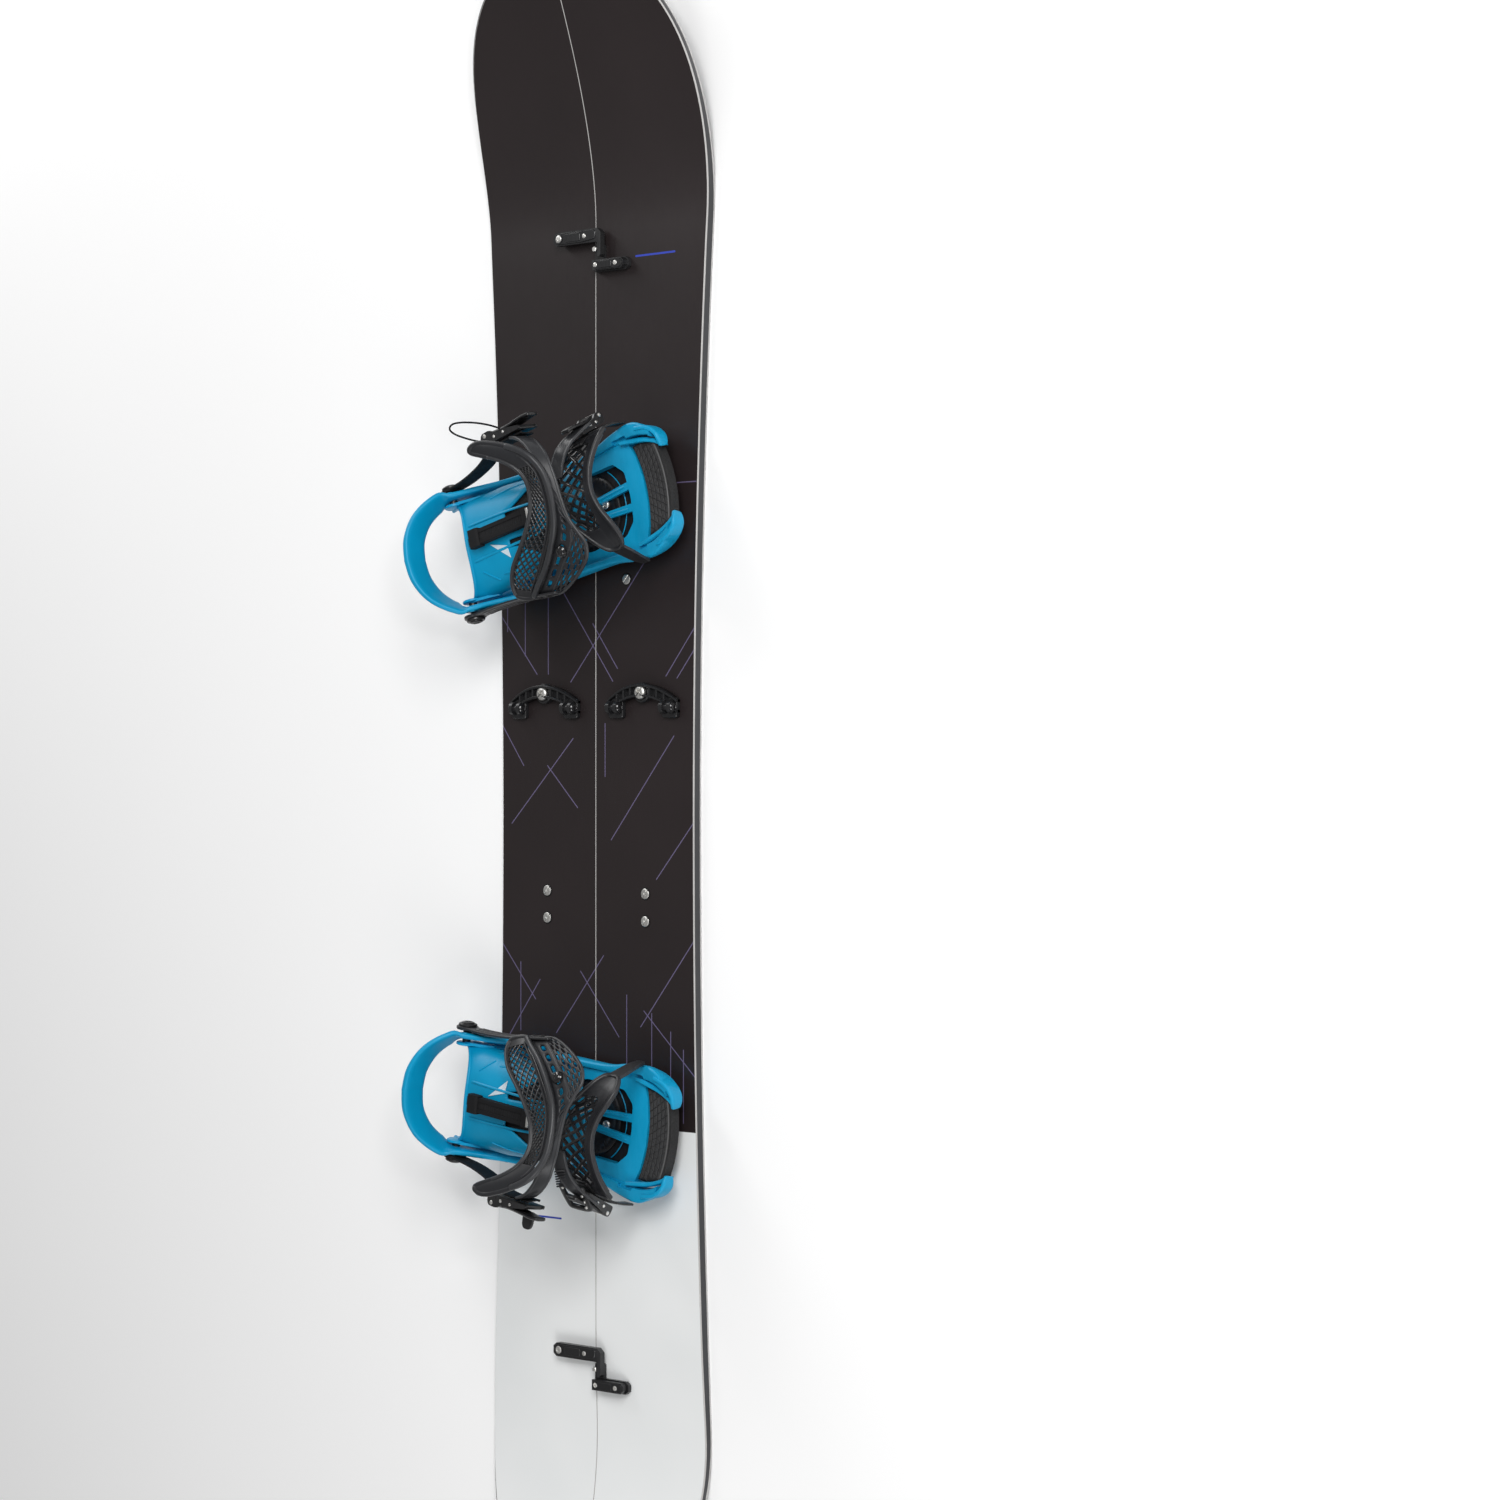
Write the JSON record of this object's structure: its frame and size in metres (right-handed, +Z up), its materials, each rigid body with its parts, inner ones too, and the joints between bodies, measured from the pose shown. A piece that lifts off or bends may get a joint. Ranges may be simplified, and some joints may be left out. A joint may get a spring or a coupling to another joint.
{
  "type": "splitboard",
  "caption": "Directional splitboard in ride mode: board halves clipped together, moulded strap bindings with folded highbacks, mid-board touring brackets.",
  "frame": {"origin": "centre of the board's plan, on the flat running base", "axes": "+X along the board towards the nose, +Y towards the heel side, +Z up off the topsheet"},
  "size_m": [1.577, 0.3008, 0.1645],
  "materials": {
    "board_laminate": "satin printed topsheet, dark ahead and pale behind, dark sidewall and base",
    "edge_steel": "ground steel",
    "moulded_blue": "semi-gloss moulded nylon",
    "moulded_black": "fine moulded grain",
    "strap_charcoal": "smooth rubbery moulding",
    "pad_foam": "textured closed-cell foam",
    "black_alloy": "black anodised, semi-gloss",
    "black_steel": "black oxide",
    "screw_steel": "bright",
    "coated_cable": "black coated thin steel cable"
  },
  "bodies": {
    "board": {"heel_half": "board_laminate", "toe_half": "board_laminate", "heel_half_steel_edge": "edge_steel", "toe_half_steel_edge": "edge_steel", "heel_touring_bracket": "moulded_black", "heel_touring_bracket_screw": "screw_steel", "toe_touring_bracket": "moulded_black", "toe_touring_bracket_screw": "screw_steel", "heel_plug_screw_1": "screw_steel", "heel_plug_screw_2": "screw_steel", "toe_plug_screw_1": "screw_steel", "toe_plug_screw_2": "screw_steel", "toe_plug_screw_3": "screw_steel", "nose_clip_keeper": "black_alloy", "tail_clip_keeper": "black_alloy", "front_heel_puck": "moulded_black", "front_toe_puck": "moulded_black", "rear_heel_puck": "moulded_black", "rear_toe_puck": "moulded_black"},
    "nose_clip_hook": {"nose_clip_hook": "black_alloy"},
    "tail_clip_hook": {"tail_clip_hook": "black_alloy"},
    "front_binding": {"front_track": "black_alloy", "front_baseplate": "moulded_blue", "front_disc": "moulded_black", "front_toe_pad": "pad_foam", "front_heel_hoop": "moulded_blue", "front_inner_pivot_bolt": "black_steel", "front_outer_pivot_bolt": "black_steel"},
    "front_highback_body": {"front_highback": "moulded_blue", "front_highback_pad": "pad_foam", "front_lean_adjuster": "moulded_black"},
    "front_ankle_body": {"front_ankle_strap": "strap_charcoal", "front_ankle_arm": "strap_charcoal", "front_ankle_ladder": "moulded_black", "front_ankle_buckle": "black_alloy", "front_release_wire": "coated_cable"},
    "front_ankle_lever_body": {"front_ankle_lever": "moulded_black"},
    "front_toe_body": {"front_toe_strap": "strap_charcoal", "front_toe_ladder": "moulded_black", "front_toe_buckle": "black_alloy"},
    "front_toe_lever_body": {"front_toe_lever": "moulded_black"},
    "rear_binding": {"rear_track": "black_alloy", "rear_baseplate": "moulded_blue", "rear_disc": "moulded_black", "rear_toe_pad": "pad_foam", "rear_heel_hoop": "moulded_blue", "rear_inner_pivot_bolt": "black_steel", "rear_outer_pivot_bolt": "black_steel"},
    "rear_highback_body": {"rear_highback": "moulded_blue", "rear_highback_pad": "pad_foam", "rear_lean_adjuster": "moulded_black"},
    "rear_ankle_body": {"rear_ankle_strap": "strap_charcoal", "rear_ankle_arm": "strap_charcoal", "rear_ankle_ladder": "moulded_black", "rear_ankle_buckle": "black_alloy"},
    "rear_ankle_lever_body": {"rear_ankle_lever": "moulded_black"},
    "rear_toe_body": {"rear_toe_strap": "strap_charcoal", "rear_toe_ladder": "moulded_black", "rear_toe_buckle": "black_alloy"},
    "rear_toe_lever_body": {"rear_toe_lever": "moulded_black"}
  },
  "joints": [
    {"name": "nose_clip_release", "type": "hinge", "parent": "board", "child": "nose_clip_hook", "pos_m": [0.5225, 0.038, 0.0085], "axis": [0, 0, 1], "range_deg": [0, 75]},
    {"name": "tail_clip_release", "type": "hinge", "parent": "board", "child": "tail_clip_hook", "pos_m": [-0.5375, 0.038, 0.0085], "axis": [0, 0, 1], "range_deg": [0, 75]},
    {"name": "front_binding_slide", "type": "slide", "parent": "board", "child": "front_binding", "axis": [0.2588, -0.9659, 0], "range_m": [0, 0.225]},
    {"name": "front_highback_fold", "type": "hinge", "parent": "front_binding", "child": "front_highback_body", "pos_m": [0.22291, 0.11978, 0.0665], "axis": [-0.9659, -0.2588, 0], "range_deg": [0, 72]},
    {"name": "front_ankle_strap_swing", "type": "hinge", "parent": "front_binding", "child": "front_ankle_body", "pos_m": [0.22291, 0.11978, 0.0665], "axis": [-0.9659, -0.2588, 0], "range_deg": [0, 72]},
    {"name": "front_ankle_lever_hinge", "type": "hinge", "parent": "front_ankle_body", "child": "front_ankle_lever_body", "pos_m": [0.32791, 0.02834, 0.11641], "axis": [-0.1197, 0.0641, 0.9907], "range_deg": [0, 60], "stiffness_Nm_per_rad": 0.05, "springref_deg": -17.19},
    {"name": "front_toe_lever_hinge", "type": "hinge", "parent": "front_toe_body", "child": "front_toe_lever_body", "pos_m": [0.34275, -0.04756, 0.06632], "axis": [-0.2808, 0.9584, 0.0515], "range_deg": [0, 60], "stiffness_Nm_per_rad": 0.05, "springref_deg": -17.19},
    {"name": "front_toe_strap_swing", "type": "hinge", "parent": "front_binding", "child": "front_toe_body", "pos_m": [0.27467, -0.07341, 0.0345], "axis": [0.9659, 0.2588, 0], "range_deg": [-6, 34]},
    {"name": "rear_binding_slide", "type": "slide", "parent": "board", "child": "rear_binding", "axis": [-0.1392, -0.9903, 0], "range_m": [0, 0.225]},
    {"name": "rear_highback_fold", "type": "hinge", "parent": "rear_binding", "child": "rear_highback_body", "pos_m": [-0.29324, 0.12279, 0.0665], "axis": [-0.9903, 0.1392, 0], "range_deg": [0, 72]},
    {"name": "rear_ankle_strap_swing", "type": "hinge", "parent": "rear_binding", "child": "rear_ankle_body", "pos_m": [-0.29324, 0.12279, 0.0665], "axis": [-0.9903, 0.1392, 0], "range_deg": [0, 72]},
    {"name": "rear_ankle_lever_hinge", "type": "hinge", "parent": "rear_ankle_body", "child": "rear_ankle_lever_body", "pos_m": [-0.38632, 0.01925, 0.11641], "axis": [-0.111, -0.0782, -0.9907], "range_deg": [0, 60], "stiffness_Nm_per_rad": 0.05, "springref_deg": -17.19},
    {"name": "rear_toe_lever_hinge", "type": "hinge", "parent": "rear_toe_body", "child": "rear_toe_lever_body", "pos_m": [-0.3918, -0.0579, 0.06632], "axis": [-0.1619, -0.9855, -0.0515], "range_deg": [0, 60], "stiffness_Nm_per_rad": 0.05, "springref_deg": -17.19},
    {"name": "rear_toe_strap_swing", "type": "hinge", "parent": "rear_binding", "child": "rear_toe_body", "pos_m": [-0.32108, -0.07526, 0.0345], "axis": [0.9903, -0.1392, 0], "range_deg": [-6, 34]}
  ],
  "couplings": [
    {"joint": "front_ankle_strap_swing", "follows": "front_highback_fold", "ratio": 1},
    {"joint": "rear_ankle_strap_swing", "follows": "rear_highback_fold", "ratio": 1}
  ]
}
